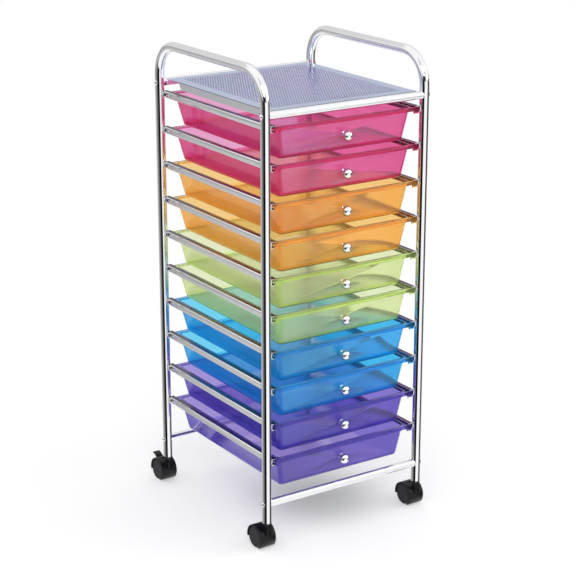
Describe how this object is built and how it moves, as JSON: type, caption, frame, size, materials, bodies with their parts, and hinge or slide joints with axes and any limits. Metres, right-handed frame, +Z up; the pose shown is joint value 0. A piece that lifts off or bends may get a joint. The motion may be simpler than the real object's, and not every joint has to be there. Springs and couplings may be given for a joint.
{
  "type": "rolling drawer cart",
  "caption": "Chrome tube cart on swivel casters with a perforated top shelf and a column of translucent tapered drawers that slide in channel rails, each with a ball knob.",
  "frame": {"origin": "on the floor under the middle of the whole part's box, casters trailing to the rear", "axes": "+Z up, drawers open towards -Y, +X to the right seen from the front"},
  "size_m": [0.4068, 0.4636, 0.971],
  "materials": {
    "chrome_tube": "polished chrome plate",
    "shelf_sheet": "chrome-plated perforated sheet",
    "rail_chrome": "chrome-plated folded sheet",
    "plug_steel": "plain steel, hidden",
    "pin_steel": "bright zinc",
    "knob_chrome": "polished chrome plate",
    "drawer_pink": "glossy translucent moulding",
    "drawer_orange": "glossy translucent moulding",
    "drawer_lime": "glossy translucent moulding",
    "drawer_blue": "glossy translucent moulding",
    "drawer_purple": "glossy translucent moulding",
    "socket_plastic": "moulded black",
    "hood_plastic": "satin moulded black",
    "wheel_plastic": "satin moulded dark grey"
  },
  "bodies": {
    "cart_frame": {"frame_left": "chrome_tube", "frame_right": "chrome_tube", "shelf_panel": "shelf_sheet", "shelf_bar_front": "chrome_tube", "shelf_bar_rear": "chrome_tube", "base_bar_front": "chrome_tube", "base_bar_rear": "chrome_tube", "bar_end_plugs": "plug_steel", "frame_bolts": "chrome_tube", "rails_1": "rail_chrome", "rails_2": "rail_chrome", "rails_3": "rail_chrome", "rails_4": "rail_chrome", "rails_5": "rail_chrome", "rails_6": "rail_chrome", "rails_7": "rail_chrome", "rails_8": "rail_chrome", "rails_9": "rail_chrome", "rails_10": "rail_chrome", "stem_sockets": "socket_plastic", "caster_stems": "pin_steel"},
    "drawer_unit_1": {"drawer_1": "drawer_pink", "knob_1": "knob_chrome"},
    "drawer_unit_2": {"drawer_2": "drawer_pink", "knob_2": "knob_chrome"},
    "drawer_unit_3": {"drawer_3": "drawer_orange", "knob_3": "knob_chrome"},
    "drawer_unit_4": {"drawer_4": "drawer_orange", "knob_4": "knob_chrome"},
    "drawer_unit_5": {"drawer_5": "drawer_lime", "knob_5": "knob_chrome"},
    "drawer_unit_6": {"drawer_6": "drawer_lime", "knob_6": "knob_chrome"},
    "drawer_unit_7": {"drawer_7": "drawer_blue", "knob_7": "knob_chrome"},
    "drawer_unit_8": {"drawer_8": "drawer_blue", "knob_8": "knob_chrome"},
    "drawer_unit_9": {"drawer_9": "drawer_purple", "knob_9": "knob_chrome"},
    "drawer_unit_10": {"drawer_10": "drawer_purple", "knob_10": "knob_chrome"},
    "caster_front_left": {"caster_hood_front_left": "hood_plastic", "axle_front_left": "pin_steel"},
    "front_left_outer_wheel": {"wheel_front_left_outer": "wheel_plastic"},
    "front_left_inner_wheel": {"wheel_front_left_inner": "wheel_plastic"},
    "caster_front_right": {"caster_hood_front_right": "hood_plastic", "axle_front_right": "pin_steel"},
    "front_right_outer_wheel": {"wheel_front_right_outer": "wheel_plastic"},
    "front_right_inner_wheel": {"wheel_front_right_inner": "wheel_plastic"},
    "caster_rear_left": {"caster_hood_rear_left": "hood_plastic", "axle_rear_left": "pin_steel"},
    "rear_left_outer_wheel": {"wheel_rear_left_outer": "wheel_plastic"},
    "rear_left_inner_wheel": {"wheel_rear_left_inner": "wheel_plastic"},
    "caster_rear_right": {"caster_hood_rear_right": "hood_plastic", "axle_rear_right": "pin_steel"},
    "rear_right_outer_wheel": {"wheel_rear_right_outer": "wheel_plastic"},
    "rear_right_inner_wheel": {"wheel_rear_right_inner": "wheel_plastic"},
    "brake_left": {"brake_pedal_left": "hood_plastic"},
    "brake_right": {"brake_pedal_right": "hood_plastic"}
  },
  "joints": [
    {"name": "drawer_1_slide", "type": "slide", "parent": "cart_frame", "child": "drawer_unit_1", "axis": [0, -1, 0], "range_m": [0, 0.28]},
    {"name": "drawer_2_slide", "type": "slide", "parent": "cart_frame", "child": "drawer_unit_2", "axis": [0, -1, 0], "range_m": [0, 0.28]},
    {"name": "drawer_3_slide", "type": "slide", "parent": "cart_frame", "child": "drawer_unit_3", "axis": [0, -1, 0], "range_m": [0, 0.28]},
    {"name": "drawer_4_slide", "type": "slide", "parent": "cart_frame", "child": "drawer_unit_4", "axis": [0, -1, 0], "range_m": [0, 0.28]},
    {"name": "drawer_5_slide", "type": "slide", "parent": "cart_frame", "child": "drawer_unit_5", "axis": [0, -1, 0], "range_m": [0, 0.28]},
    {"name": "drawer_6_slide", "type": "slide", "parent": "cart_frame", "child": "drawer_unit_6", "axis": [0, -1, 0], "range_m": [0, 0.28]},
    {"name": "drawer_7_slide", "type": "slide", "parent": "cart_frame", "child": "drawer_unit_7", "axis": [0, -1, 0], "range_m": [0, 0.28]},
    {"name": "drawer_8_slide", "type": "slide", "parent": "cart_frame", "child": "drawer_unit_8", "axis": [0, -1, 0], "range_m": [0, 0.28]},
    {"name": "drawer_9_slide", "type": "slide", "parent": "cart_frame", "child": "drawer_unit_9", "axis": [0, -1, 0], "range_m": [0, 0.28]},
    {"name": "drawer_10_slide", "type": "slide", "parent": "cart_frame", "child": "drawer_unit_10", "axis": [0, -1, 0], "range_m": [0, 0.28]},
    {"name": "caster_front_left_swivel", "type": "hinge", "parent": "cart_frame", "child": "caster_front_left", "pos_m": [-0.1855, -0.21919, 0.022], "axis": [0, 0, 1], "continuous": true},
    {"name": "front_left_outer_wheel_spin", "type": "hinge", "parent": "caster_front_left", "child": "front_left_outer_wheel", "pos_m": [-0.1855, -0.19919, 0.022], "axis": [1, 0, 0], "continuous": true},
    {"name": "front_left_inner_wheel_spin", "type": "hinge", "parent": "caster_front_left", "child": "front_left_inner_wheel", "pos_m": [-0.1855, -0.19919, 0.022], "axis": [1, 0, 0], "continuous": true},
    {"name": "caster_front_right_swivel", "type": "hinge", "parent": "cart_frame", "child": "caster_front_right", "pos_m": [0.1855, -0.21919, 0.022], "axis": [0, 0, 1], "continuous": true},
    {"name": "front_right_outer_wheel_spin", "type": "hinge", "parent": "caster_front_right", "child": "front_right_outer_wheel", "pos_m": [0.1855, -0.19919, 0.022], "axis": [1, 0, 0], "continuous": true},
    {"name": "front_right_inner_wheel_spin", "type": "hinge", "parent": "caster_front_right", "child": "front_right_inner_wheel", "pos_m": [0.1855, -0.19919, 0.022], "axis": [1, 0, 0], "continuous": true},
    {"name": "caster_rear_left_swivel", "type": "hinge", "parent": "cart_frame", "child": "caster_rear_left", "pos_m": [-0.1855, 0.17781, 0.022], "axis": [0, 0, 1], "continuous": true},
    {"name": "rear_left_outer_wheel_spin", "type": "hinge", "parent": "caster_rear_left", "child": "rear_left_outer_wheel", "pos_m": [-0.1855, 0.19781, 0.022], "axis": [1, 0, 0], "continuous": true},
    {"name": "rear_left_inner_wheel_spin", "type": "hinge", "parent": "caster_rear_left", "child": "rear_left_inner_wheel", "pos_m": [-0.1855, 0.19781, 0.022], "axis": [1, 0, 0], "continuous": true},
    {"name": "caster_rear_right_swivel", "type": "hinge", "parent": "cart_frame", "child": "caster_rear_right", "pos_m": [0.1855, 0.17781, 0.022], "axis": [0, 0, 1], "continuous": true},
    {"name": "rear_right_outer_wheel_spin", "type": "hinge", "parent": "caster_rear_right", "child": "rear_right_outer_wheel", "pos_m": [0.1855, 0.19781, 0.022], "axis": [1, 0, 0], "continuous": true},
    {"name": "rear_right_inner_wheel_spin", "type": "hinge", "parent": "caster_rear_right", "child": "rear_right_inner_wheel", "pos_m": [0.1855, 0.19781, 0.022], "axis": [1, 0, 0], "continuous": true},
    {"name": "brake_left_press", "type": "hinge", "parent": "caster_rear_left", "child": "brake_left", "pos_m": [-0.1855, 0.21447, 0.0405], "axis": [-1, 0, 0], "range_deg": [0, 12]},
    {"name": "brake_right_press", "type": "hinge", "parent": "caster_rear_right", "child": "brake_right", "pos_m": [0.1855, 0.21447, 0.0405], "axis": [-1, 0, 0], "range_deg": [0, 12]}
  ]
}
